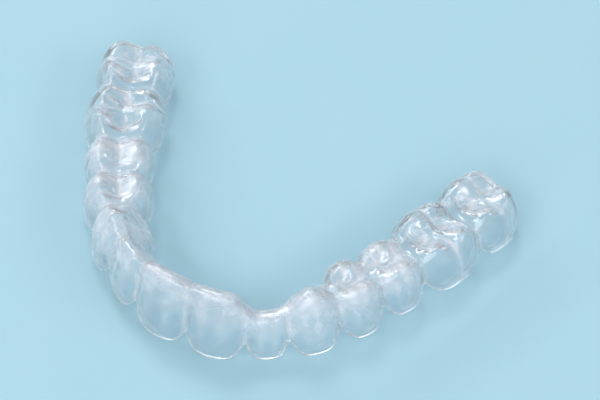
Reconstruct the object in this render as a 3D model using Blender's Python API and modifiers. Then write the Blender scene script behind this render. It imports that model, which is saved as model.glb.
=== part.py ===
"""A clear aligner for an upper dental arch: one sheet of clear plastic, formed over the crowns of fourteen teeth.

The shell is open along the gums, where it was cut in a scalloped line, and closed everywhere else. It lies on that
cut edge with its chewing side up, the incisors towards -Y and the patient's left side towards -X.
"""

import math
from dataclasses import dataclass

import bmesh
import bpy

# The sheet
SHEET = 0.00075
CUT_EDGE_LIP = 0.0004

# The centre line of the arch, seen from above, is as wide and long as this where the last molars end
ARCH_WIDTH = 0.0612
ARCH_LENGTH = 0.0406
ARCH_SQUARENESS = 2.57

# The cut along the gums rises to a narrow point between neighbouring teeth
LABIAL_POINT = 0.0026
LINGUAL_POINT = 0.0017
POINT_SHARPNESS = 4.5
LINGUAL_CUT_LIFT = 0.0009

# The groove between two crowns: how sharply they turn in, and the fillet that the sheet bridges, in half crowns
CROWN_ROUNDING = 2.7
GROOVE_FILLET = 0.09

# The closed end behind the last molar: how square it is seen from above, and the height of its own cut edge
END_SQUARENESS = 2.5
END_CUT_HEIGHT = 0.0012
END_RISES = (0, 0.28, 0.44, 0.56, 0.61)

# The crowns: widths along the arch, depths from lip side to tongue side, heights off the table of crowns and cut edge
CENTRAL_WIDTH = 0.0080
CENTRAL_DEPTH = 0.0070
CENTRAL_HEIGHT = 0.0112
LATERAL_WIDTH = 0.0062
LATERAL_DEPTH = 0.0062
LATERAL_HEIGHT = 0.0100
LATERAL_CUT_HEIGHT = 0.0007
SHORT_LATERAL_WIDTH = 0.0056
SHORT_LATERAL_HEIGHT = 0.0072
EYETOOTH_WIDTH = 0.0072
EYETOOTH_DEPTH = 0.0078
EYETOOTH_HEIGHT = 0.0106
PREMOLAR_WIDTH = 0.0069
PREMOLAR_DEPTH = 0.0093
FIRST_PREMOLAR_HEIGHT = 0.0094
FIRST_PREMOLAR_CUT_HEIGHT = 0.0004
SECOND_PREMOLAR_HEIGHT = 0.0089
SECOND_PREMOLAR_CUT_HEIGHT = 0.0005
FIRST_MOLAR_WIDTH = 0.0104
FIRST_MOLAR_DEPTH = 0.0110
FIRST_MOLAR_HEIGHT = 0.0085
FIRST_MOLAR_CUT_HEIGHT = 0.0003
SECOND_MOLAR_WIDTH = 0.0093
SECOND_MOLAR_DEPTH = 0.0107
SECOND_MOLAR_HEIGHT = 0.0080

# How finely the sheet is divided
STRIPS = (2, 2, 3, 3, 3, 3, 2, 2)  # of the sheet between one row and the next
END_STATIONS = 6
ARCH_SAMPLES = 2000


@dataclass(frozen=True)
class Kind:
    """A kind of crown. Each row runs along the arch, and is given by its reach and rise where it crosses the crown.

    Reach is -1 at the tongue side and 1 at the lip side, in half depths. Rise is 0 at the gum and 1 at the tip.
    Relief is what stands out of or is sunk into a row: (row, place from -1 at the front to 1 at the back, half width,
    height in crown heights).
    """

    middle: tuple
    contact: tuple
    fall: float  # how late the biting edge drops towards the next tooth: low for a point, high for a straight edge
    relief: tuple = ()
    stations: int = 8


INCISOR = Kind(
    middle=((1.06, 0), (1.08, 0.26), (0.88, 0.64), (0.50, 1.0), (0.02, 0.97), (-0.24, 0.72), (-0.60, 0.42),
            (-0.93, 0.20), (-0.95, 0)),
    contact=((0.80, 0), (0.80, 0.36), (0.66, 0.62), (0.42, 0.92), (-0.02, 0.90), (-0.20, 0.72), (-0.40, 0.52),
             (-0.56, 0.36), (-0.58, 0)),
    fall=6.0,
)
CANINE = Kind(
    middle=((1.02, 0), (1.06, 0.30), (0.84, 0.66), (0.42, 1.0), (-0.02, 0.98), (-0.30, 0.78), (-0.66, 0.50),
            (-0.95, 0.24), (-0.95, 0)),
    contact=((0.74, 0), (0.76, 0.38), (0.62, 0.62), (0.38, 0.82), (-0.02, 0.79), (-0.22, 0.69), (-0.44, 0.54),
             (-0.60, 0.38), (-0.62, 0)),
    fall=1.6,
    stations=10,
)
PREMOLAR = Kind(
    middle=((0.94, 0), (1.0, 0.34), (0.84, 0.74), (0.50, 1.0), (-0.02, 0.72), (-0.52, 0.90), (-0.88, 0.68),
            (-1.0, 0.38), (-0.94, 0)),
    contact=((0.66, 0), (0.70, 0.44), (0.62, 0.64), (0.42, 0.76), (0.0, 0.72), (-0.42, 0.74), (-0.62, 0.62),
             (-0.70, 0.44), (-0.68, 0)),
    fall=2.0,
    relief=((4, 0.66, 0.30, 0.07), (4, -0.66, 0.30, 0.07)),
    stations=10,
)
MOLAR = Kind(
    middle=((0.94, 0), (1.0, 0.32), (0.86, 0.74), (0.54, 1.0), (-0.04, 0.78), (-0.56, 0.98), (-0.90, 0.72),
            (-1.0, 0.38), (-0.94, 0)),
    contact=((0.74, 0), (0.78, 0.44), (0.70, 0.66), (0.46, 0.78), (0.0, 0.74), (-0.46, 0.78), (-0.70, 0.66),
             (-0.78, 0.44), (-0.74, 0)),
    fall=4.0,
    relief=((3, -0.46, 0.22, 0.03), (3, 0.03, 0.22, -0.15), (3, 0.48, 0.22, 0.01), (2, 0.03, 0.20, -0.05),
            (1, 0.03, 0.20, -0.03), (5, -0.30, 0.26, 0.02), (5, 0.30, 0.20, -0.14), (6, 0.30, 0.18, -0.05),
            (4, -0.40, 0.22, -0.11), (4, 0.02, 0.20, 0.02), (4, 0.46, 0.20, -0.10), (4, 0.78, 0.18, 0.06),
            (4, -0.78, 0.18, 0.06)),
    stations=14,
)


@dataclass(frozen=True)
class Tooth:
    kind: Kind
    width: float
    depth: float
    height: float
    cut_height: float = 0.0


CENTRAL = Tooth(INCISOR, CENTRAL_WIDTH, CENTRAL_DEPTH, CENTRAL_HEIGHT)
LATERAL = Tooth(INCISOR, LATERAL_WIDTH, LATERAL_DEPTH, LATERAL_HEIGHT, LATERAL_CUT_HEIGHT)
SHORT_LATERAL = Tooth(INCISOR, SHORT_LATERAL_WIDTH, LATERAL_DEPTH, SHORT_LATERAL_HEIGHT, LATERAL_CUT_HEIGHT)
EYETOOTH = Tooth(CANINE, EYETOOTH_WIDTH, EYETOOTH_DEPTH, EYETOOTH_HEIGHT)
FIRST_PREMOLAR = Tooth(
    PREMOLAR, PREMOLAR_WIDTH, PREMOLAR_DEPTH, FIRST_PREMOLAR_HEIGHT, FIRST_PREMOLAR_CUT_HEIGHT)
SECOND_PREMOLAR = Tooth(
    PREMOLAR, PREMOLAR_WIDTH, PREMOLAR_DEPTH, SECOND_PREMOLAR_HEIGHT, SECOND_PREMOLAR_CUT_HEIGHT)
FIRST_MOLAR = Tooth(MOLAR, FIRST_MOLAR_WIDTH, FIRST_MOLAR_DEPTH, FIRST_MOLAR_HEIGHT, FIRST_MOLAR_CUT_HEIGHT)
SECOND_MOLAR = Tooth(MOLAR, SECOND_MOLAR_WIDTH, SECOND_MOLAR_DEPTH, SECOND_MOLAR_HEIGHT)

BACK_TEETH = (EYETOOTH, FIRST_PREMOLAR, SECOND_PREMOLAR, FIRST_MOLAR, SECOND_MOLAR)
LEFT_HALF = (CENTRAL, LATERAL) + BACK_TEETH
RIGHT_HALF = (CENTRAL, SHORT_LATERAL) + BACK_TEETH
TEETH = tuple(reversed(LEFT_HALF)) + RIGHT_HALF

LIP_ROW, TONGUE_ROW = 0, 8
EDGE_ROWS = (3, 4, 5)


def clear_scene():
    for obj in list(bpy.data.objects):
        bpy.data.objects.remove(obj)


def trace_centre_line():
    """The right half of the centre line, as (distance from the front, x, y), longer than the row of teeth."""
    reach = sum(tooth.width for tooth in RIGHT_HALF)
    points = [(0.0, 0.0, 0.0)]
    while points[-1][0] < reach * 1.02:
        distance, x, y = points[-1]
        slope = arch_slope(x)
        step = reach / ARCH_SAMPLES
        x += step / math.hypot(1, slope)
        new_y = ARCH_LENGTH * (2 * x / ARCH_WIDTH) ** ARCH_SQUARENESS
        points.append((distance + math.hypot(x - points[-1][1], new_y - y), x, new_y))
    return points


def arch_slope(x):
    half = ARCH_WIDTH / 2
    return ARCH_LENGTH * ARCH_SQUARENESS * (x / half) ** (ARCH_SQUARENESS - 1) / half


def place_on_arch(line, distance):
    """(x, y) of the centre line and its outward direction. Distance is negative on the patient's left."""
    side = -1 if distance < 0 else 1
    wanted = abs(distance)
    index = min(int(wanted / line[-1][0] * (len(line) - 1)), len(line) - 2)
    while line[index + 1][0] < wanted:
        index += 1
    while line[index][0] > wanted:
        index -= 1
    near, far = line[index], line[index + 1]
    share = (wanted - near[0]) / (far[0] - near[0])
    x = near[1] + (far[1] - near[1]) * share
    y = near[2] + (far[2] - near[2]) * share
    slope = arch_slope(x)
    length = math.hypot(1, slope)
    return (side * x, y), (side * slope / length, -1 / length)


def nearness(place):
    """0 at the middle of a crown and 1 where it meets the next, easing in over the fillet."""
    gap = 1 - abs(place)
    return 1 - (math.hypot(gap, GROOVE_FILLET) - GROOVE_FILLET)


def row_in_metres(tooth, row, reach, rise):
    """The outward distance and the height of a row, on the outside of the sheet."""
    half_depth = tooth.depth / 2 + SHEET
    return reach * half_depth, tooth.cut_height + rise * (tooth.height - tooth.cut_height)


def relief_height(tooth, row, place):
    """How far the ridges, grooves and pits of the chewing side stand out or in at this place along a row."""
    height = 0.0
    for relief_row, centre, half_width, share in tooth.kind.relief:
        if relief_row == row:
            height += share * math.exp(-(((place - centre) / half_width) ** 2))
    return height * (tooth.height - tooth.cut_height)


def meeting(tooth, neighbour, row):
    """Where a row passes between two teeth: half way between what each of them has there."""
    mine = row_in_metres(tooth, row, *tooth.kind.contact[row])
    theirs = row_in_metres(neighbour, row, *neighbour.kind.contact[row])
    return (mine[0] + theirs[0]) / 2, (mine[1] + theirs[1]) / 2


def cut_height(tooth, neighbour, row, place):
    """The height of the cut edge. It reaches below the table where it is lowest, to be cut flat there."""
    point = LABIAL_POINT if row == LIP_ROW else LINGUAL_POINT
    lift = 0 if row == LIP_ROW else LINGUAL_CUT_LIFT
    near = nearness(place)
    middle = tooth.cut_height + (neighbour.cut_height - tooth.cut_height) / 2 * near**CROWN_ROUNDING
    return middle + lift - CUT_EDGE_LIP + point * near**POINT_SHARPNESS


def section(tooth, neighbour, place, towards_back):
    """The rows of one section of the sheet, from the lip side over the crown to the tongue side.

    Place is 0 at the middle of the crown and 1 or -1 at its neighbours, and towards_back is the same place counted
    from the front of the mouth.
    """
    rows = []
    near = nearness(place)
    for row, (reach, rise) in enumerate(tooth.kind.middle):
        out, height = row_in_metres(tooth, row, reach, rise)
        height += relief_height(tooth, row, towards_back)
        contact_out, contact_height = meeting(tooth, neighbour, row)
        falling = near ** (tooth.kind.fall if row in EDGE_ROWS else CROWN_ROUNDING)
        turning = near**CROWN_ROUNDING
        out += (contact_out - out) * turning
        height += (contact_height - height) * falling
        if row in (LIP_ROW, TONGUE_ROW):
            height = cut_height(tooth, neighbour, row, place)
        rows.append((out, height))
    return rows


def end_section(tooth, angle):
    """(place, rows) of a section of the closed end behind the last molar. At a right angle it is a single line."""
    power = 2 / END_SQUARENESS
    place = math.sin(angle) ** power
    width = max(math.cos(angle), 0.0) ** power
    closing = place**6
    rows = []
    for row, (reach, rise) in enumerate(tooth.kind.middle):
        out, height = row_in_metres(tooth, row, reach, rise)
        height += relief_height(tooth, row, place)
        end_height = row_in_metres(tooth, row, 0, END_RISES[min(row, TONGUE_ROW - row)])[1]
        if row in (LIP_ROW, TONGUE_ROW):
            height, end_height = cut_height(tooth, tooth, row, 0), END_CUT_HEIGHT
        rows.append((out * width, height + (end_height - height) * closing))
    return place, rows


def smooth_row(points, strips):
    """Points on a smooth curve through the given ones, with so many strips from each to the next."""
    first = [2 * a - b for a, b in zip(points[0], points[1])]
    last = [2 * a - b for a, b in zip(points[-1], points[-2])]
    padded = [first, *points, last]
    curve = []
    for index in range(1, len(padded) - 2):
        before, start, end, after = padded[index - 1 : index + 3]
        for step in range(strips[index - 1]):
            t = step / strips[index - 1]
            curve.append(tuple(
                0.5 * (2 * b + (c - a) * t + (2 * a - 5 * b + 4 * c - d) * t**2 + (3 * b - a - 3 * c + d) * t**3)
                for a, b, c, d in zip(before, start, end, after)
            ))
    curve.append(tuple(points[-1]))
    return curve


def crown_places(stations):
    """Places across one crown, closer together towards its neighbours. The last belongs to the next crown."""
    return [-math.cos(math.pi * index / stations) for index in range(stations)]


def shell_sections():
    """(distance along the arch, rows) of each section, from the patient's last left molar to the last right one."""
    sections = []
    distance = -sum(tooth.width for tooth in LEFT_HALF)
    last = len(TEETH) - 1
    for index, tooth in enumerate(TEETH):
        centre = distance + tooth.width / 2
        side = -1 if index < len(LEFT_HALF) else 1
        if index == 0:
            for step in range(END_STATIONS, 0, -1):
                place, rows = end_section(tooth, math.pi / 2 * step / END_STATIONS)
                sections.append((centre - place * tooth.width / 2, rows))
        for place in crown_places(tooth.kind.stations):
            at_end = (index == 0 and place < -1e-9) or (index == last and place > 1e-9)
            if at_end:
                continue
            neighbour = TEETH[min(max(index + (-1 if place < 0 else 1), 0), last)]
            sections.append((centre + place * tooth.width / 2, section(tooth, neighbour, place, place * side)))
        if index == last:
            for step in range(1, END_STATIONS + 1):
                place, rows = end_section(tooth, math.pi / 2 * step / END_STATIONS)
                sections.append((centre + place * tooth.width / 2, rows))
        distance += tooth.width
    return sections


def formed_points():
    """The sheet's points as a grid, section by section, with the middle of the shell over the origin."""
    line = trace_centre_line()
    grid = []
    for distance, rows in shell_sections():
        (x, y), (out_x, out_y) = place_on_arch(line, distance)
        grid.append([(x + out * out_x, y + out * out_y, height) for out, height in smooth_row(rows, STRIPS)])
    middle_x, middle_y = (middle_of(point[axis] for points in grid for point in points) for axis in (0, 1))
    return [[(x - middle_x, y - middle_y, z) for x, y, z in points] for points in grid]


def middle_of(values):
    values = list(values)
    return (min(values) + max(values)) / 2


def form_sheet():
    """A flat sheet pressed over the arch: each of its points goes to its place on the crowns."""
    grid = formed_points()
    sheet = bmesh.new()
    bmesh.ops.create_grid(sheet, x_segments=len(grid) - 1, y_segments=len(grid[0]) - 1, size=1)
    for vert in sheet.verts:
        along = round((vert.co.x + 1) / 2 * (len(grid) - 1))
        across = round((vert.co.y + 1) / 2 * (len(grid[0]) - 1))
        vert.co = grid[along][across]
    bmesh.ops.remove_doubles(sheet, verts=sheet.verts, dist=1e-6)
    mesh = bpy.data.meshes.new("aligner")
    sheet.to_mesh(mesh)
    sheet.free()
    return mesh


def clear_plastic():
    material = bpy.data.materials.new("clear_polyurethane")
    material.use_nodes = True
    shader = material.node_tree.nodes["Principled BSDF"]
    shader.inputs["Base Color"].default_value = (0.93, 0.95, 0.97, 1)
    shader.inputs["Roughness"].default_value = 0.12
    shader.inputs["Metallic"].default_value = 0
    shader.inputs["Transmission Weight"].default_value = 0.9
    shader.inputs["IOR"].default_value = 1.5
    return material


def link(obj, collection):
    collection.objects.link(obj)
    return obj


def make_table_cutter(collection, below):
    """A block whose top is the table. What hangs below it is cut off, as the edge is ground flat there."""
    side = 2 * (ARCH_WIDTH + ARCH_LENGTH)
    cutter = bmesh.new()
    bmesh.ops.create_cube(cutter, size=1)
    bmesh.ops.scale(cutter, vec=(side, side, below), verts=cutter.verts)
    bmesh.ops.translate(cutter, vec=(0, 0, -below / 2), verts=cutter.verts)
    mesh = bpy.data.meshes.new("table_cutter")
    cutter.to_mesh(mesh)
    cutter.free()
    obj = link(bpy.data.objects.new("table_cutter", mesh), collection)
    obj.hide_render = True
    obj.display_type = "WIRE"
    return obj


def new_collection(name):
    collection = bpy.data.collections.new(name)
    bpy.context.scene.collection.children.link(collection)
    return collection


def main():
    clear_scene()
    parts, cutters = new_collection("clear_aligner"), new_collection("cutters")
    mesh = form_sheet()
    mesh.materials.append(clear_plastic())
    mesh.shade_smooth()
    aligner = link(bpy.data.objects.new("aligner", mesh), parts)
    wall = aligner.modifiers.new("wall", "SOLIDIFY")
    wall.thickness = SHEET
    wall.offset = -1
    wall.use_even_offset = True
    flat = aligner.modifiers.new("flat_edge", "BOOLEAN")
    flat.operation = "DIFFERENCE"
    flat.object = make_table_cutter(cutters, below=10 * CUT_EDGE_LIP)


main()
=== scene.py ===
"""The looks of a clear aligner for the upper teeth, lying on a pale table.

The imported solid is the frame. The sheet is pressed over the same crowns again, finely enough for clear
plastic, with the fissures, ripples and rounded cut edge that the solid leaves out.
"""

import math
from dataclasses import dataclass

import bmesh
import bpy
from bpy.props import FloatProperty, FloatVectorProperty, PointerProperty
from mathutils import Matrix, Vector, noise


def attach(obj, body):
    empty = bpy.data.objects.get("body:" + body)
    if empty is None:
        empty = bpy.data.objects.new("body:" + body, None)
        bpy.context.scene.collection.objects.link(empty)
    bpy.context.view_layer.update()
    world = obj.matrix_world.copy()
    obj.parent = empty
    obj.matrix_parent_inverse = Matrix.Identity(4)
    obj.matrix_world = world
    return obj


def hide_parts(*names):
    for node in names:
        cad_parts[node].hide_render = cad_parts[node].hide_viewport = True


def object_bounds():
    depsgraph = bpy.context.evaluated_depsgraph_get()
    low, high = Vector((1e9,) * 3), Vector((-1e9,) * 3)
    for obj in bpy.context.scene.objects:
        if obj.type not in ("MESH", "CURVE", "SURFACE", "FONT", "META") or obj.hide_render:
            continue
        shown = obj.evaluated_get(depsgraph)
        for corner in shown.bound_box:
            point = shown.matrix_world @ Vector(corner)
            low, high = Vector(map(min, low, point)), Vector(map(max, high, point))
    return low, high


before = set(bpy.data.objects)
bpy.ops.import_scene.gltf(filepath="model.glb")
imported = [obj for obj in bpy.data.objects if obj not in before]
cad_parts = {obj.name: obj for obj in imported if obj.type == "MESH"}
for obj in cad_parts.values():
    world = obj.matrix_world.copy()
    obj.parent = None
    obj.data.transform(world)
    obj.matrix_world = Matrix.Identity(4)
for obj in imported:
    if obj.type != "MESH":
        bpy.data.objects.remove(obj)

bl_info = {
    "name": "Clear aligner",
    "version": (1, 0, 0),
    "blender": (4, 5, 0),
    "location": "View3D > Sidebar > Aligner",
    "description": "Presses a clear sheet over an arch of crowns and sets the shell on a pale table",
    "category": "Add Mesh",
}

CAD_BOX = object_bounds()

# Rows run over a crown from the lip side to the tongue side, with so many strips of faces between them. The
# edge rows are those at the biting edge.
LIP_ROW, CENTRE_ROW, TONGUE_ROW = 0, 4, 8
EDGE_ROWS = (3, 4, 5)
STRIPS = (6, 6, 10, 11, 11, 10, 6, 6)

# Sections cross the arch. They crowd towards the contacts, from evenly spaced at 0. A place this near to 0 is
# the middle of its crown.
CROWDING = 0.6
MIDDLE = 1e-9

# The centre line's steps, and how much longer it is than the row of teeth, so that no place is past its end
ARCH_SAMPLES = 4000
LINE_SPARE = 1.04

# The closed end behind the last molar: its sections, how square it is from above, how late it comes down to
# its lowest, and how high its cut edge and its rows are there
END_STATIONS = 18
END_SQUARENESS = 2.5
END_LATENESS = 6
END_CUT_HEIGHT = 0.0012
END_RISES = (0, 0.28, 0.44, 0.56, 0.61)

# How sharply crowns turn in towards each other, the fillet between them in half crowns, and how narrow the
# points of the cut edge are there
CROWN_ROUNDING = 2.7
GROOVE_FILLET = 0.09
POINT_SHARPNESS = 4.5

# How much higher the cut edge is on the tongue side, and how softly it comes down to the table
LINGUAL_CUT_LIFT = 0.0009
CUT_EDGE_LIP = 0.0004

# Points nearer than this are one. The sheet's points, its normals and its mould side are eased so often.
MERGE_DISTANCE = 1e-6
ROUNDING_PASSES = 6
NORMAL_PASSES = 14
MOULD_SIDE_PASSES = 9

# Ripples of the pressed sheet are about 1.4 mm apart
RIPPLES_PER_METRE = 700

# Fissures and lobes fade out over the last quarter of the way from a crown's middle to where it meets the next
FINE_FORM_FADE = 4

# The crease that the sheet keeps where two crowns touch. It fades out over the rows nearest the centre.
CREASE_DEPTH = 0.00022
CREASE_HALF_WIDTH = 0.00045
CREASE_FADE_ROWS = 1.5

# Relief this deep is fully frosted: the sheet is drawn into it last, and comes out matt and whitish there.
# Deep relief on a milky row frosts it further, up to the most.
FULL_FROST_RELIEF = 0.0002
MOST_FROST = 1.9

# What the roughness and the frost are multiplied by where the clouds in the plastic are thin and dense
CLOUD_ROUGHNESS = (0.6, 1.5)
CLOUD_FROST = (0.5, 1.4)

# How sharply the haze gathers where the sheet turns edge on, and how much frost would add 1 to the roughness
EDGE_ON_POWER = 3.0
FROST_PER_ROUGHNESS = 3

# The colour of the light that the sheet lets through to the table, face on and edge on
PASSED_FACE_ON = "#FBFCFD"
PASSED_EDGE_ON = "#9EAAB2"

# The picture's frame. The camera is aimed so often, and draws nothing nearer than this.
PICTURE_WIDTH, PICTURE_HEIGHT = 600, 400
AIMING_PASSES = 6
NEAREST_DRAWN = 0.01

# How far the table reaches from its middle, and the gap that keeps the shell's lowest faces out of its plane
TABLE_REACH = 2.0
TABLE_GAP = 0.00002

# How strong the tent is near the table and overhead: as light on the shell, and where it is seen or reflected
TENT_LIGHT = (0.15, 0.25)
TENT_SEEN = (0.7, 0.25)

# Soft lights that face the shell: name, place, width, height, and the setting that holds the power. The key
# stands behind the arch, the fill in front, and the three narrow strips draw crisp lines along the crowns.
SOFT_LIGHTS = (
    ("key_light", (-0.72, 0.96, 1.56), 0.54, 0.45, "key_power"),
    ("front_fill", (0.30, -1.68, 1.02), 1.8, 0.9, "fill_power"),
    ("strip_right", (1.35, 0.0, 0.90), 1.2, 0.09, "strip_power"),
    ("strip_front", (-0.60, -1.08, 1.26), 1.2, 0.09, "strip_power"),
    ("strip_left", (-1.35, 0.48, 0.66), 1.2, 0.075, "strip_power"),
)


@dataclass(frozen=True)
class Kind:
    """A kind of crown. Each row runs along the arch, and has a reach and a rise where it crosses the crown.

    Reach is -1 at the tongue side and 1 at the lip side, in half depths. Rise is 0 at the gum, 1 at the tip.
    Fall is how late the biting edge drops towards the next tooth: low for a point, high for a straight edge.
    Relief is (row, place from -1 at the front to 1 at the back, half width, height in crown heights).
    Fissures and lobes are (row, place, half width in rows, half width in places, metres up or outwards).
    Milky is how whitish the sheet is where it is drawn tightest, and the rows where that starts and is full.
    Stations is how many sections the crown has.
    """

    middle: tuple
    contact: tuple
    fall: float
    relief: tuple = ()
    fissures: tuple = ()
    lobes: tuple = ()
    milky: tuple = (0.0, 1, 2)
    stations: int = 40


INCISOR = Kind(
    middle=((1.06, 0), (1.08, 0.26), (0.88, 0.64), (0.50, 1.0), (0.02, 0.97), (-0.24, 0.72), (-0.60, 0.42),
            (-0.93, 0.20), (-0.95, 0)),
    contact=((0.80, 0), (0.80, 0.36), (0.66, 0.62), (0.42, 0.92), (-0.02, 0.90), (-0.20, 0.72), (-0.40, 0.52),
             (-0.56, 0.36), (-0.58, 0)),
    fall=6.0,
    fissures=((6.6, -0.52, 1.2, 0.10, 0.00016), (6.6, 0.52, 1.2, 0.10, 0.00016),
              (7.2, 0.0, 0.5, 0.30, 0.00014)),
    lobes=((1.9, -0.34, 1.1, 0.15, -0.00010), (1.9, 0.32, 1.1, 0.15, -0.00010)),
    milky=(0.9, 1.4, 2.7),
)
CANINE = Kind(
    middle=((1.02, 0), (1.06, 0.30), (0.84, 0.66), (0.42, 1.0), (-0.02, 0.98), (-0.30, 0.78), (-0.66, 0.50),
            (-0.95, 0.24), (-0.95, 0)),
    contact=((0.74, 0), (0.76, 0.38), (0.62, 0.62), (0.38, 0.82), (-0.02, 0.79), (-0.22, 0.69), (-0.44, 0.54),
             (-0.60, 0.38), (-0.62, 0)),
    fall=1.6,
    fissures=((5.8, 0.0, 1.2, 0.12, 0.00018), (5.9, -0.50, 1.2, 0.12, 0.00012),
              (5.9, 0.50, 1.2, 0.12, 0.00012)),
    lobes=((1.9, 0.0, 1.2, 0.16, 0.00014), (1.8, -0.42, 1.0, 0.15, -0.00010),
           (1.8, 0.42, 1.0, 0.15, -0.00010)),
    milky=(0.95, 0.9, 2.0),
)
PREMOLAR = Kind(
    middle=((0.94, 0), (1.0, 0.34), (0.84, 0.74), (0.50, 1.0), (-0.02, 0.72), (-0.52, 0.90), (-0.88, 0.68),
            (-1.0, 0.38), (-0.94, 0)),
    contact=((0.66, 0), (0.70, 0.44), (0.62, 0.64), (0.42, 0.76), (0.0, 0.72), (-0.42, 0.74), (-0.62, 0.62),
             (-0.70, 0.44), (-0.68, 0)),
    fall=2.0,
    relief=((4, 0.66, 0.30, 0.07), (4, -0.66, 0.30, 0.07)),
    fissures=((4.0, 0.0, 0.22, 0.50, -0.00040), (3.5, -0.48, 0.50, 0.08, -0.00026),
              (3.5, 0.48, 0.50, 0.08, -0.00026), (4.5, -0.50, 0.45, 0.08, -0.00022),
              (4.5, 0.50, 0.45, 0.08, -0.00022), (3.4, 0.0, 0.40, 0.16, 0.00016),
              (4.6, 0.0, 0.35, 0.16, 0.00014)),
    lobes=((1.9, 0.0, 1.1, 0.20, 0.00010), (1.8, -0.48, 1.0, 0.14, -0.00009),
           (1.8, 0.48, 1.0, 0.14, -0.00009)),
    milky=(0.9, 1.0, 2.4),
)
MOLAR = Kind(
    middle=((0.94, 0), (1.0, 0.32), (0.86, 0.74), (0.54, 1.0), (-0.04, 0.78), (-0.56, 0.98), (-0.90, 0.72),
            (-1.0, 0.38), (-0.94, 0)),
    contact=((0.74, 0), (0.78, 0.44), (0.70, 0.66), (0.46, 0.78), (0.0, 0.74), (-0.46, 0.78), (-0.70, 0.66),
             (-0.78, 0.44), (-0.74, 0)),
    fall=4.0,
    relief=((3, -0.46, 0.22, 0.03), (3, 0.03, 0.22, -0.15), (3, 0.48, 0.22, 0.01), (2, 0.03, 0.20, -0.05),
            (1, 0.03, 0.20, -0.03), (5, -0.30, 0.26, 0.02), (5, 0.30, 0.20, -0.14), (6, 0.30, 0.18, -0.05),
            (4, -0.40, 0.22, -0.11), (4, 0.02, 0.20, 0.02), (4, 0.46, 0.20, -0.10), (4, 0.78, 0.18, 0.06),
            (4, -0.78, 0.18, 0.06)),
    fissures=((4.0, -0.40, 0.20, 0.26, -0.00044), (4.0, 0.46, 0.20, 0.22, -0.00042),
              (3.0, 0.03, 0.85, 0.055, -0.00036), (4.9, 0.30, 0.85, 0.055, -0.00036),
              (3.5, -0.62, 0.40, 0.05, -0.00026), (4.5, -0.66, 0.40, 0.05, -0.00024),
              (3.5, 0.66, 0.40, 0.05, -0.00024), (3.4, -0.20, 0.40, 0.05, -0.00020),
              (3.4, -0.42, 0.40, 0.10, 0.00018), (3.4, 0.30, 0.40, 0.10, 0.00016),
              (4.6, -0.25, 0.40, 0.12, 0.00018), (4.5, 0.05, 0.35, 0.05, -0.00018)),
    lobes=((1.6, 0.03, 1.4, 0.09, -0.00016), (6.3, 0.30, 1.2, 0.08, -0.00016)),
    milky=(0.28, 1.2, 2.8),
    stations=64,
)


@dataclass(frozen=True)
class Tooth:
    """One tooth: its width along the arch, its depth from lip to tongue side, its height off the table."""

    kind: Kind
    width: float
    depth: float
    height: float
    cut_height: float = 0.0


CENTRAL = Tooth(INCISOR, width=0.0080, depth=0.0070, height=0.0112)
LATERAL = Tooth(INCISOR, width=0.0062, depth=0.0062, height=0.0100, cut_height=0.0007)
SHORT_LATERAL = Tooth(INCISOR, width=0.0056, depth=0.0062, height=0.0072, cut_height=0.0007)
EYETOOTH = Tooth(CANINE, width=0.0072, depth=0.0078, height=0.0106)
FIRST_PREMOLAR = Tooth(PREMOLAR, width=0.0069, depth=0.0093, height=0.0094, cut_height=0.0004)
SECOND_PREMOLAR = Tooth(PREMOLAR, width=0.0069, depth=0.0093, height=0.0089, cut_height=0.0005)
FIRST_MOLAR = Tooth(MOLAR, width=0.0104, depth=0.0110, height=0.0085, cut_height=0.0003)
SECOND_MOLAR = Tooth(MOLAR, width=0.0093, depth=0.0107, height=0.0080)

BACK_TEETH = (EYETOOTH, FIRST_PREMOLAR, SECOND_PREMOLAR, FIRST_MOLAR, SECOND_MOLAR)
LEFT_HALF = (CENTRAL, LATERAL) + BACK_TEETH
RIGHT_HALF = (CENTRAL, SHORT_LATERAL) + BACK_TEETH
TEETH = tuple(reversed(LEFT_HALF)) + RIGHT_HALF


@dataclass(frozen=True)
class Finish:
    """What the making of one side of the sheet leaves on it. Depths are in metres."""

    name: str
    roughness: float
    peel_depth: float
    layer_depth: float
    haze: float | None = None  # where it isn't the plastic's own


# Outside, the air-pressed side is glossy. Inside, the sheet took the fine layer lines of the mould.
# The milled edge is frosted, so that it reads as a thin white line.
FINISHES = (
    Finish("polyurethane_pressed_side", roughness=0.05, peel_depth=0.000006, layer_depth=0.000003),
    Finish("polyurethane_mould_side", roughness=0.12, peel_depth=0.000016, layer_depth=0.000009),
    Finish("polyurethane_milled_edge", roughness=0.35, peel_depth=0.000012, layer_depth=0.0, haze=0.4),
)
MOULD_SIDE, MILLED_EDGE = 1, 2  # their places above, for the faces


def linear(hex_colour):
    """The linear colour of an sRGB hex value, with alpha 1."""
    channels = [int(hex_colour[start : start + 2], 16) / 255 for start in (1, 3, 5)]
    return (*(c / 12.92 if c <= 0.04045 else ((c + 0.055) / 1.055) ** 2.4 for c in channels), 1.0)


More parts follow.
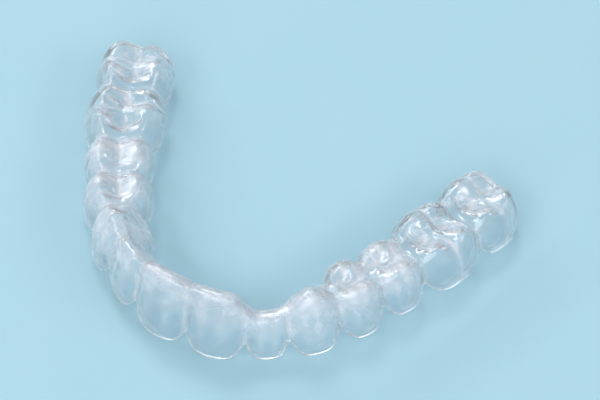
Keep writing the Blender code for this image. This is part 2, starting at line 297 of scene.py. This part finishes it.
class ShellSettings(bpy.types.PropertyGroup):
    """Sizes of the sheet and of the arch that it is pressed over."""

    sheet: FloatProperty(
        name="Sheet", description="Thickness of the clear sheet", default=0.00075, min=0.0003, unit="LENGTH")
    arch_width: FloatProperty(
        name="Arch width", description="Width of the centre line where the last molars end", default=0.0612,
        unit="LENGTH")
    arch_length: FloatProperty(
        name="Arch length", description="Length of the centre line from the incisors to the last molars",
        default=0.0406, unit="LENGTH")
    arch_squareness: FloatProperty(
        name="Arch squareness", description="Two for a parabola, more for a flatter front", default=2.57)
    labial_point: FloatProperty(
        name="Lip side points", description="Height of the points of the cut between teeth, on the lip side",
        default=0.0026, unit="LENGTH")
    lingual_point: FloatProperty(
        name="Tongue side points",
        description="Height of the points of the cut between teeth, on the tongue side", default=0.0017,
        unit="LENGTH")
    ripple: FloatProperty(
        name="Ripple", description="Height of the soft unevenness of the pressed sheet", default=0.00005,
        unit="LENGTH")
    edge_round: FloatProperty(
        name="Cut edge rounding", description="How far the milled edge is polished round", default=0.00012,
        unit="LENGTH")


class PlasticSettings(bpy.types.PropertyGroup):
    """Finish of the clear polyurethane."""

    tint: FloatVectorProperty(
        name="Tint", description="Colour of the clear plastic", subtype="COLOR", size=3,
        default=linear("#F9FAFC")[:3])
    milk: FloatVectorProperty(
        name="Milk", description="Colour of the plastic where it scatters most", subtype="COLOR", size=3,
        default=linear("#F9F9FE")[:3])
    haze: FloatProperty(
        name="Haze", description="Share of the light that the plastic scatters", default=0.02, min=0, max=1,
        subtype="FACTOR")
    frost: FloatProperty(
        name="Frost", description="How much more the plastic scatters where it is drawn tightest",
        default=0.25, min=0, max=0.5, subtype="FACTOR")
    edge_haze: FloatProperty(
        name="Edge haze", description="How much more it scatters where the sheet is seen edge on",
        default=1.9, min=0, max=2)
    cloud_size: FloatProperty(
        name="Cloud size", description="Width of the patches where the plastic scatters more or less",
        default=1 / 350, unit="LENGTH")  # 2.9 mm
    peel_size: FloatProperty(
        name="Peel size", description="Width of the faint dimples of the formed sheet's skin",
        default=1 / 1500, unit="LENGTH")  # 0.67 mm
    layer_pitch: FloatProperty(
        name="Layer pitch", description="Spacing of the fine lines left by the layers of the printed mould",
        default=0.00035, unit="LENGTH")


class StageSettings(bpy.types.PropertyGroup):
    """Table, light and view."""

    azimuth: FloatProperty(
        name="Azimuth", description="Turn of the view from the front towards +X", default=math.radians(26.5),
        subtype="ANGLE")
    elevation: FloatProperty(
        name="Elevation", description="Height of the view over the table", default=math.radians(51),
        subtype="ANGLE")
    distance: FloatProperty(
        name="Distance", description="Distance of the camera from the shell", default=0.5, unit="LENGTH")
    fill: FloatProperty(
        name="Fill", description="Share of the picture's width that the shell takes", default=0.8, min=0.1,
        max=1, subtype="FACTOR")
    table_tone: FloatVectorProperty(
        name="Table tone", description="Pale colour of the table", subtype="COLOR", size=3,
        default=linear("#AFD8E8")[:3])
    table_mottle: FloatVectorProperty(
        name="Table mottle", description="The lighter tone of its faint mottle", subtype="COLOR", size=3,
        default=linear("#B5DCEB")[:3])
    mottle_size: FloatProperty(
        name="Mottle size", description="Width of the patches of the table's mottle",
        default=1 / 60, unit="LENGTH")  # 17 mm
    tent: FloatVectorProperty(
        name="Tent", description="Colour of the tent around the table", subtype="COLOR", size=3,
        default=linear("#E4F1F6")[:3])
    key_power: FloatProperty(
        name="Key power", description="Power of the large soft light", default=10.4, unit="POWER")
    fill_power: FloatProperty(
        name="Fill power", description="Power of the broad light from the front", default=16.2, unit="POWER")
    strip_power: FloatProperty(
        name="Strip power", description="Power of each narrow light that draws the crisp lines", default=7.2,
        unit="POWER")


def add_node(tree, kind, inputs=None, **settings):
    """Add a node with its settings. Each input is a value, or the socket that it is linked to."""
    node = tree.nodes.new(kind)
    for name, value in settings.items():
        setattr(node, name, value)
    for key, value in (inputs or {}).items():
        if isinstance(value, bpy.types.NodeSocket):
            tree.links.new(value, node.inputs[key])
        else:
            node.inputs[key].default_value = value
    return node


def arch_slope(sizes, x):
    """The slope of the centre line at x on its right half."""
    half = sizes.arch_width / 2
    return sizes.arch_length * sizes.arch_squareness * (x / half) ** (sizes.arch_squareness - 1) / half


def trace_centre_line(sizes):
    """The right half of the centre line, as (distance from the front, x, y), longer than the row of teeth."""
    reach = sum(tooth.width for tooth in RIGHT_HALF)
    points = [(0.0, 0.0, 0.0)]
    while points[-1][0] < reach * LINE_SPARE:
        distance, x, y = points[-1]
        x += reach / ARCH_SAMPLES / math.hypot(1, arch_slope(sizes, x))
        new_y = sizes.arch_length * (2 * x / sizes.arch_width) ** sizes.arch_squareness
        points.append((distance + math.hypot(x - points[-1][1], new_y - y), x, new_y))
    return points


def place_on_arch(sizes, line, distance):
    """(x, y) of the centre line and its outward direction. Distance is negative on the wearer's left."""
    side = -1 if distance < 0 else 1
    wanted = abs(distance)
    index = min(int(wanted / line[-1][0] * (len(line) - 1)), len(line) - 2)
    while line[index + 1][0] < wanted:
        index += 1
    while line[index][0] > wanted:
        index -= 1
    near, far = line[index], line[index + 1]
    share = (wanted - near[0]) / (far[0] - near[0])
    x = near[1] + (far[1] - near[1]) * share
    y = near[2] + (far[2] - near[2]) * share
    slope = arch_slope(sizes, x)
    length = math.hypot(1, slope)
    return (side * x, y), (side * slope / length, -1 / length)


def nearness(place):
    """0 at the middle of a crown and 1 where it meets the next, easing in over the fillet."""
    return 1 - (math.hypot(1 - abs(place), GROOVE_FILLET) - GROOVE_FILLET)


def row_in_metres(sizes, tooth, reach, rise):
    """(how far outwards, how high) a row is, from its reach and rise."""
    out = reach * (tooth.depth / 2 + sizes.sheet)
    return out, tooth.cut_height + rise * (tooth.height - tooth.cut_height)


def relief_height(tooth, row, place):
    """How far the ridges, grooves and pits of the chewing side stand out or in at this place along a row."""
    height = sum(share * math.exp(-(((place - centre) / half_width) ** 2))
                 for relief_row, centre, half_width, share in tooth.kind.relief if relief_row == row)
    return height * (tooth.height - tooth.cut_height)


def fine_height(forms, row, place):
    """How far fissures or lobes stand out or in here."""
    return sum(height * math.exp(-(((row - at_row) / half_rows) ** 2) - ((place - centre) / half_places) ** 2)
               for at_row, centre, half_rows, half_places, height in forms)


def milkiness(kind, row):
    """How whitish the sheet is at this row. Both sides clear towards the cut edge."""
    share, start, full = kind.milky
    t = min(max((min(row, TONGUE_ROW - row) - start) / (full - start), 0), 1)
    return share * t * t * (3 - 2 * t)


def crease(row, gap):
    """How deep the crease is at this distance from where two crowns touch."""
    side = min(abs(row - CENTRE_ROW) / CREASE_FADE_ROWS, 1) ** 2
    return CREASE_DEPTH * side * math.exp(-((gap / CREASE_HALF_WIDTH) ** 2))


def above_table(height):
    """The height, eased in to stay on the table where it would be as much as the lip below it."""
    eased, lowest = ((value + math.hypot(value, CUT_EDGE_LIP)) / 2 for value in (height, -CUT_EDGE_LIP))
    return max(eased - lowest, 0)


def cut_height(sizes, tooth, neighbour, row, place):
    """The height of the cut edge, which rises to a point where two crowns touch."""
    point = sizes.labial_point if row == LIP_ROW else sizes.lingual_point
    lift = 0 if row == LIP_ROW else LINGUAL_CUT_LIFT
    near = nearness(place)
    middle = tooth.cut_height + (neighbour.cut_height - tooth.cut_height) / 2 * near**CROWN_ROUNDING
    return above_table(middle + lift - CUT_EDGE_LIP + point * near**POINT_SHARPNESS)


def crown_section(sizes, tooth, neighbour, place, towards_back):
    """The rows of one section of the sheet, from the lip side over the crown to the tongue side."""
    rows = []
    near = nearness(place)
    for row, (reach, rise) in enumerate(tooth.kind.middle):
        out, height = row_in_metres(sizes, tooth, reach, rise)
        height += relief_height(tooth, row, towards_back)
        mine = row_in_metres(sizes, tooth, *tooth.kind.contact[row])
        theirs = row_in_metres(sizes, neighbour, *neighbour.kind.contact[row])
        falling = near ** (tooth.kind.fall if row in EDGE_ROWS else CROWN_ROUNDING)
        out += ((mine[0] + theirs[0]) / 2 - out) * near**CROWN_ROUNDING
        height += ((mine[1] + theirs[1]) / 2 - height) * falling
        if row in (LIP_ROW, TONGUE_ROW):
            height = cut_height(sizes, tooth, neighbour, row, place)
        rows.append((out, height))
    return rows


def end_section(sizes, tooth, angle):
    """(place, rows) of a section of the closed end. At a right angle it is a single line."""
    power = 2 / END_SQUARENESS
    place = math.sin(angle) ** power
    width = max(math.cos(angle), 0.0) ** power
    closing = place**END_LATENESS
    rows = []
    for row, (reach, rise) in enumerate(tooth.kind.middle):
        out, height = row_in_metres(sizes, tooth, reach, rise)
        height += relief_height(tooth, row, place)
        end_height = row_in_metres(sizes, tooth, 0, END_RISES[min(row, TONGUE_ROW - row)])[1]
        if row in (LIP_ROW, TONGUE_ROW):
            height, end_height = cut_height(sizes, tooth, tooth, row, 0), END_CUT_HEIGHT
        rows.append((out * width, height + (end_height - height) * closing))
    return place, rows


def smooth_row(points):
    """(row, out, height) on a smooth curve through a section's rows, in strips."""
    first = [2 * a - b for a, b in zip(points[0], points[1])]
    last = [2 * a - b for a, b in zip(points[-1], points[-2])]
    padded = [first, *points, last]
    curve = []
    for index, strips in enumerate(STRIPS):
        before, start, end, after = padded[index : index + 4]
        for step in range(strips):
            t = step / strips
            curve.append((index + t, *(
                0.5 * (2 * b + (c - a) * t + (2 * a - 5 * b + 4 * c - d) * t**2
                       + (3 * b - a - 3 * c + d) * t**3)
                for a, b, c, d in zip(before, start, end, after)
            )))
    curve.append((len(STRIPS), *points[-1]))
    return curve


def shell_sections(sizes):
    """Each section of the sheet, as (distance along the arch, tooth, place towards the back, gap, rows).

    Gap is the distance to where the crown touches the next.
    """
    distance = -sum(tooth.width for tooth in LEFT_HALF)
    last = len(TEETH) - 1
    for index, tooth in enumerate(TEETH):
        centre = distance + tooth.width / 2
        side = -1 if index < len(LEFT_HALF) else 1
        angles = [math.pi / 2 * step / END_STATIONS for step in range(1, END_STATIONS + 1)]
        if index == 0:
            for angle in reversed(angles):
                place, rows = end_section(sizes, tooth, angle)
                yield centre - place * tooth.width / 2, tooth, place, math.inf, rows
        for station in range(tooth.kind.stations):
            share = station / tooth.kind.stations
            place = (1 - CROWDING) * (2 * share - 1) - CROWDING * math.cos(math.pi * share)
            if (index == 0 and place < -MIDDLE) or (index == last and place > MIDDLE):
                continue
            neighbour = TEETH[min(max(index + (-1 if place < 0 else 1), 0), last)]
            rows = crown_section(sizes, tooth, neighbour, place, place * side)
            gap = (1 - abs(place)) * tooth.width / 2
            yield centre + place * tooth.width / 2, tooth, place * side, gap, rows
        if index == last:
            for angle in angles:
                place, rows = end_section(sizes, tooth, angle)
                yield centre + place * tooth.width / 2, tooth, place, math.inf, rows
        distance += tooth.width


def formed_points(sizes):
    """A grid of (point of the sheet, its fine relief, how milky), by section, centred over the solid."""
    line = trace_centre_line(sizes)
    grid = []
    for distance, tooth, place, gap, rows in shell_sections(sizes):
        (x, y), (out_x, out_y) = place_on_arch(sizes, line, distance)
        keep = min(1, FINE_FORM_FADE * (1 - abs(place)))
        points = []
        for row, out, height in smooth_row(rows):
            up = fine_height(tooth.kind.fissures, row, place) * keep
            lobe = fine_height(tooth.kind.lobes, row, place) * keep
            push = math.copysign(1, out) * (lobe - crease(row, gap))
            point = Vector((x + out * out_x, y + out * out_y, height))
            relief = Vector((push * out_x, push * out_y, up))
            points.append((point, relief, milkiness(tooth.kind, row)))
        grid.append(points)
    shift = Vector((0, 0, 0))
    for axis in (0, 1):
        places = [point[axis] for points in grid for point, _, _ in points]
        shift[axis] = (CAD_BOX[0][axis] + CAD_BOX[1][axis] - min(places) - max(places)) / 2
    return [[(point + shift, relief, milk) for point, relief, milk in points] for points in grid]


def press_sheet(sheet, sizes):
    """A flat sheet pressed over the arch: each of its points goes to its place on the crowns."""
    grid = formed_points(sizes)
    along_count, across_count = len(grid) - 1, len(grid[0]) - 1
    relief = sheet.verts.layers.float_vector.new("relief")
    depth = sheet.verts.layers.int.new("rows_from_the_cut")
    frost = sheet.verts.layers.float.new("frost")
    bmesh.ops.create_grid(sheet, x_segments=along_count, y_segments=across_count, size=1)
    for vert in sheet.verts:
        along = round((vert.co.x + 1) / 2 * along_count)
        across = round((vert.co.y + 1) / 2 * across_count)
        vert.co, vert[relief], vert[frost] = grid[along][across]
        vert[depth] = min(across, across_count - across)
    bmesh.ops.remove_doubles(sheet, verts=sheet.verts, dist=MERGE_DISTANCE)
    bmesh.ops.dissolve_verts(sheet, verts=[vert for vert in sheet.verts if len(vert.link_edges) == 2])
    for step in range(ROUNDING_PASSES):
        ease(sheet, [vert for vert in sheet.verts if vert[depth] > step])
    for vert in sheet.verts:
        vert.co += vert[relief]
        vert[frost] = min(vert[frost] + vert[relief].length / FULL_FROST_RELIEF, MOST_FROST)
    sheet.normal_update()
    for vert in sheet.verts:
        if not vert.is_boundary:
            vert.co += vert.normal * sizes.ripple * noise.noise(vert.co * RIPPLES_PER_METRE)
    sheet.normal_update()


def ease(sheet, verts):
    """Move each point half of the way to the middle of its neighbours."""
    bmesh.ops.smooth_vert(sheet, verts=verts, factor=0.5, use_axis_x=True, use_axis_y=True, use_axis_z=True)


def eased_normals(sheet):
    """Each point's normal, eased towards its neighbours', so that the wall doesn't fold at a sharp ridge."""
    normals = {vert: vert.normal.copy() for vert in sheet.verts}
    for _ in range(NORMAL_PASSES):
        normals = {
            vert: sum(
                (normals[edge.other_vert(vert)] for edge in vert.link_edges), normal.copy()).normalized()
            for vert, normal in normals.items()
        }
    return normals


def add_wall(sheet, sizes):
    """Copy the sheet inwards for its mould side, and join the two along the cut edge, polished round."""
    normals = eased_normals(sheet)
    outer_rim = [edge for edge in sheet.edges if edge.is_boundary]
    copy = bmesh.ops.duplicate(sheet, geom=sheet.verts[:] + sheet.edges[:] + sheet.faces[:])
    mould_side = [copy["vert_map"][vert] for vert in normals]
    for vert, normal in normals.items():
        inner = copy["vert_map"][vert]
        inner.co = vert.co - normal * sizes.sheet
        inner.co.z = max(inner.co.z, CAD_BOX[0][2])
    for _ in range(MOULD_SIDE_PASSES):
        ease(sheet, [vert for vert in mould_side if not vert.is_boundary])
    mould_faces = [item for item in copy["geom"] if isinstance(item, bmesh.types.BMFace)]
    bmesh.ops.reverse_faces(sheet, faces=mould_faces)
    for face in mould_faces:
        face.material_index = MOULD_SIDE
    inner_rim = [copy["edge_map"][edge] for edge in outer_rim]
    joined = bmesh.ops.bridge_loops(sheet, edges=outer_rim + inner_rim)
    for face in joined["faces"]:
        face.material_index = MILLED_EDGE
    bmesh.ops.bevel(
        sheet, geom=outer_rim + inner_rim, offset=sizes.edge_round, offset_type="OFFSET", segments=2,
        profile=0.5, affect="EDGES", material=MILLED_EDGE, clamp_overlap=True)


def empty_material(name):
    """A material with no nodes yet."""
    material = bpy.data.materials.new(name)
    material.use_nodes = True
    material.node_tree.nodes.clear()
    return material


def clear_material(finish, look):
    """Thermoformed clear polyurethane: thin bright glints, clear faces, and whitish where it was drawn tightest.

    Its shadow is as light as that of a thin clear sheet.
    """
    haze = look.haze if finish.haze is None else finish.haze
    material = empty_material(finish.name)
    tree = material.node_tree
    place = add_node(tree, "ShaderNodeTexCoord").outputs["Object"]

    # A formed sheet is duller and whiter in soft patches. Nearly all of a noise lies between 0.3 and 0.7.
    cloud = add_node(tree, "ShaderNodeTexNoise", {
        "Vector": place, "Scale": 1 / look.cloud_size, "Detail": 3.0})
    rough = add_node(tree, "ShaderNodeMapRange", {
        "Value": cloud.outputs["Fac"], "From Min": 0.3, "From Max": 0.7,
        "To Min": finish.roughness * CLOUD_ROUGHNESS[0], "To Max": finish.roughness * CLOUD_ROUGHNESS[1]})
    patchy = add_node(tree, "ShaderNodeMapRange", {
        "Value": cloud.outputs["Fac"], "From Min": 0.35, "From Max": 0.65,
        "To Min": CLOUD_FROST[0], "To Max": CLOUD_FROST[1]})
    drawn = add_node(tree, "ShaderNodeAttribute", attribute_name="frost")
    frost = add_node(tree, "ShaderNodeMath", {
        0: drawn.outputs["Fac"], 1: patchy.outputs["Result"]}, operation="MULTIPLY")

    # A wave's period is pi / 10 over its scale. The real layers are 0.1 mm, too fine to show, so they are
    # drawn wider, and a little uneven, because the formed sheet blurs them.
    peel = add_node(tree, "ShaderNodeTexNoise", {
        "Vector": place, "Scale": 1 / look.peel_size, "Detail": 2.0})
    lines = add_node(tree, "ShaderNodeTexWave", {
        "Vector": place, "Scale": math.pi / 10 / look.layer_pitch, "Distortion": 0.6, "Detail": 1.0,
        "Detail Scale": 0.4}, bands_direction="Z")
    bump = add_node(tree, "ShaderNodeBump", {"Height": peel.outputs["Fac"], "Distance": finish.peel_depth})
    bump = add_node(tree, "ShaderNodeBump", {
        "Height": lines.outputs["Fac"], "Distance": finish.layer_depth, "Normal": bump.outputs["Normal"]})

    # The haze is in the sheet, so it shows more where the sheet turns edge on and there is more of it to see
    facing = add_node(tree, "ShaderNodeLayerWeight", {"Blend": 0.35})
    edge_on = add_node(tree, "ShaderNodeMath", {
        0: facing.outputs["Facing"], 1: EDGE_ON_POWER}, operation="POWER")
    veil = add_node(tree, "ShaderNodeMath", {
        0: edge_on.outputs["Value"], 1: look.edge_haze, 2: frost.outputs["Value"]}, operation="MULTIPLY_ADD")
    clear = add_node(tree, "ShaderNodeMapRange", {
        "Value": veil.outputs["Value"], "To Min": 1 - haze, "To Max": 1 - haze - look.frost}, clamp=False)
    matt = add_node(tree, "ShaderNodeMath", {
        0: frost.outputs["Value"], 1: look.frost / FROST_PER_ROUGHNESS, 2: rough.outputs["Result"]},
        operation="MULTIPLY_ADD")
    colour = add_node(tree, "ShaderNodeMix", {
        "Factor": frost.outputs["Value"], "A": (*look.tint, 1), "B": (*look.milk, 1)}, data_type="RGBA")
    shader = add_node(tree, "ShaderNodeBsdfPrincipled", {
        "Base Color": colour.outputs["Result"], "Metallic": 0.0, "IOR": 1.5,
        "Transmission Weight": clear.outputs["Result"], "Roughness": matt.outputs["Value"],
        "Normal": bump.outputs["Normal"]})

    # Light on its way to the table goes straight through, so that it is counted once and the shadow is clean
    shade = add_node(tree, "ShaderNodeMix", {
        "Factor": facing.outputs["Facing"], "A": linear(PASSED_FACE_ON), "B": linear(PASSED_EDGE_ON)},
        data_type="RGBA")
    through = add_node(tree, "ShaderNodeBsdfTransparent", {"Color": shade.outputs["Result"]})
    ray = add_node(tree, "ShaderNodeLightPath")
    to_table = add_node(tree, "ShaderNodeMath", {
        0: ray.outputs["Is Shadow Ray"], 1: ray.outputs["Is Diffuse Ray"]}, operation="MAXIMUM")
    mix = add_node(tree, "ShaderNodeMixShader", {
        0: to_table.outputs["Value"], 1: shader.outputs["BSDF"], 2: through.outputs["BSDF"]})
    add_node(tree, "ShaderNodeOutputMaterial", {"Surface": mix.outputs["Shader"]})
    return material


def table_material(stage):
    """Matt laminate, sanded fine: pale and even, with a faint mottle so that it doesn't look like paper."""
    material = empty_material("matt_laminate_table")
    tree = material.node_tree
    place = add_node(tree, "ShaderNodeTexCoord").outputs["Object"]
    mottle = add_node(tree, "ShaderNodeTexNoise", {
        "Vector": place, "Scale": 1 / stage.mottle_size, "Detail": 4.0})
    colour = add_node(tree, "ShaderNodeMix", {
        "Factor": mottle.outputs["Fac"], "A": (*stage.table_tone, 1), "B": (*stage.table_mottle, 1)},
        data_type="RGBA")
    shader = add_node(tree, "ShaderNodeBsdfPrincipled", {
        "Base Color": colour.outputs["Result"], "Roughness": 0.6, "IOR": 1.45, "Specular IOR Level": 0.3})
    add_node(tree, "ShaderNodeOutputMaterial", {"Surface": shader.outputs["BSDF"]})
    return material


def add_piece(scene, name, shape, materials):
    """An object made of a finished bmesh, with its materials in order."""
    mesh = bpy.data.meshes.new(name)
    shape.to_mesh(mesh)
    shape.free()
    for material in materials:
        mesh.materials.append(material)
    piece = bpy.data.objects.new(name, mesh)
    scene.collection.objects.link(piece)
    return piece


def make_table(scene, stage):
    """A flat table, just under the shell."""
    top = bmesh.new()
    bmesh.ops.create_grid(top, x_segments=1, y_segments=1, size=TABLE_REACH)
    bmesh.ops.translate(top, vec=(0, 0, CAD_BOX[0][2] - TABLE_GAP), verts=top.verts)
    obj = add_piece(scene, "table", top, [table_material(stage)])


def add_soft_light(scene, name, place, width, height, power):
    """A rectangular soft light that faces the shell."""
    lamp = bpy.data.lights.new(name, "AREA")
    lamp.shape = "RECTANGLE"
    lamp.size, lamp.size_y = width, height
    lamp.energy = power
    obj = bpy.data.objects.new(name, lamp)
    obj.location = place
    obj.rotation_euler = (-Vector(place)).to_track_quat("-Z", "Y").to_euler()
    scene.collection.objects.link(obj)


def light_tent(scene, stage):
    """A tent around the table. Its light on the shell is low, because the lamps do the lighting.

    Where the camera sees it, and in and through the plastic, it is pale near the table and darker overhead,
    which draws the shell's edges.
    """
    world = bpy.data.worlds.new("light_tent")
    world.use_nodes = True
    tree = world.node_tree
    tree.nodes.clear()
    way = add_node(tree, "ShaderNodeTexCoord").outputs["Generated"]
    up = add_node(tree, "ShaderNodeSeparateXYZ", {"Vector": way}).outputs["Z"]
    light, seen = (
        add_node(tree, "ShaderNodeMapRange", {"Value": up, "To Min": low, "To Max": overhead})
        for low, overhead in (TENT_LIGHT, TENT_SEEN))
    ray = add_node(tree, "ShaderNodeLightPath")
    view = add_node(tree, "ShaderNodeMath", {
        0: ray.outputs["Is Camera Ray"], 1: ray.outputs["Is Glossy Ray"]}, operation="MAXIMUM")
    view = add_node(tree, "ShaderNodeMath", {
        0: view.outputs["Value"], 1: ray.outputs["Is Transmission Ray"]}, operation="MAXIMUM")
    level = add_node(tree, "ShaderNodeMix", {
        "Factor": view.outputs["Value"], "A": light.outputs["Result"], "B": seen.outputs["Result"]})
    sky = add_node(tree, "ShaderNodeBackground", {
        "Color": (*stage.tent, 1), "Strength": level.outputs["Result"]})
    add_node(tree, "ShaderNodeOutputWorld", {"Surface": sky.outputs["Background"]})
    scene.world = world


def add_camera(scene, stage):
    """A camera at the wanted angle, aimed and zoomed so that the solid fills its share of the picture."""
    sin_a, cos_a = math.sin(stage.azimuth), math.cos(stage.azimuth)
    sin_e, cos_e = math.sin(stage.elevation), math.cos(stage.elevation)
    back = Vector((sin_a * cos_e, -cos_a * cos_e, sin_e))
    right = Vector((cos_a, sin_a, 0))
    up = back.cross(right)
    solid = bpy.data.objects["aligner"]
    points = [solid.matrix_world @ vert.co for vert in solid.data.vertices]
    aim = (Vector(CAD_BOX[0]) + Vector(CAD_BOX[1])) / 2
    for _ in range(AIMING_PASSES):
        eye = aim + back * stage.distance
        spread = []
        for point in points:
            away = (eye - point).dot(back)
            spread.append(((point - eye).dot(right) / away, (point - eye).dot(up) / away))
        low = [min(seen[axis] for seen in spread) for axis in (0, 1)]
        high = [max(seen[axis] for seen in spread) for axis in (0, 1)]
        aim += right * (low[0] + high[0]) / 2 * stage.distance + up * (low[1] + high[1]) / 2 * stage.distance
    camera = bpy.data.cameras.new("camera")
    camera.sensor_fit = "HORIZONTAL"
    share = max((high[0] - low[0]), (high[1] - low[1]) * PICTURE_WIDTH / PICTURE_HEIGHT)
    camera.lens = camera.sensor_width * stage.fill / share
    camera.clip_start = NEAREST_DRAWN
    obj = bpy.data.objects.new("camera", camera)
    rotation = Matrix((right, up, back)).transposed().to_4x4()
    obj.matrix_world = Matrix.Translation(aim + back * stage.distance) @ rotation
    scene.collection.objects.link(obj)
    scene.camera = obj


class ALIGNER_OT_form_shell(bpy.types.Operator):
    """Press the sheet over the crowns, give it its wall, and round its cut edge"""

    bl_idname = "aligner.form_shell"
    bl_label = "Form the shell"

    def execute(self, context):
        scene = context.scene
        sheet = bmesh.new()
        press_sheet(sheet, scene.aligner_shell)
        add_wall(sheet, scene.aligner_shell)
        if not all(edge.is_manifold for edge in sheet.edges):
            raise RuntimeError("The shell isn't closed")
        for face in sheet.faces:
            face.smooth = True
        materials = [clear_material(finish, scene.aligner_plastic) for finish in FINISHES]
        shell = add_piece(scene, "clear_shell", sheet, materials)
        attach(shell, "root")
        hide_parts("aligner")
        return {"FINISHED"}


class ALIGNER_OT_set_stage(bpy.types.Operator):
    """Lay the table, hang the lights and place the camera"""

    bl_idname = "aligner.set_stage"
    bl_label = "Set the stage"

    def execute(self, context):
        scene, stage = context.scene, context.scene.aligner_stage
        make_table(scene, stage)
        light_tent(scene, stage)
        for name, place, width, height, power in SOFT_LIGHTS:
            add_soft_light(scene, name, place, width, height, getattr(stage, power))
        add_camera(scene, stage)
        scene.view_settings.view_transform = "Standard"
        return {"FINISHED"}


class ALIGNER_PT_panel(bpy.types.Panel):
    """The settings of the shell, its plastic and the stage, and what makes them"""

    bl_label = "Clear aligner"
    bl_space_type = "VIEW_3D"
    bl_region_type = "UI"
    bl_category = "Aligner"

    def draw(self, context):
        for settings, operator in (
            (context.scene.aligner_shell, ALIGNER_OT_form_shell),
            (context.scene.aligner_plastic, None),
            (context.scene.aligner_stage, ALIGNER_OT_set_stage),
        ):
            box = self.layout.box()
            for name in settings.__annotations__:
                box.prop(settings, name)
            if operator:
                box.operator(operator.bl_idname)


CLASSES = (
    ShellSettings, PlasticSettings, StageSettings, ALIGNER_OT_form_shell, ALIGNER_OT_set_stage,
    ALIGNER_PT_panel,
)


def register():
    """Register the classes, and hang the settings on the scene."""
    for cls in CLASSES:
        bpy.utils.register_class(cls)
    bpy.types.Scene.aligner_shell = PointerProperty(type=ShellSettings)
    bpy.types.Scene.aligner_plastic = PointerProperty(type=PlasticSettings)
    bpy.types.Scene.aligner_stage = PointerProperty(type=StageSettings)


def unregister():
    """Undo what register does."""
    del bpy.types.Scene.aligner_shell
    del bpy.types.Scene.aligner_plastic
    del bpy.types.Scene.aligner_stage
    for cls in reversed(CLASSES):
        bpy.utils.unregister_class(cls)


def main():
    """Make the shell and the stage."""
    register()
    bpy.ops.aligner.form_shell()
    bpy.ops.aligner.set_stage()


if __name__ == "__main__":
    main()
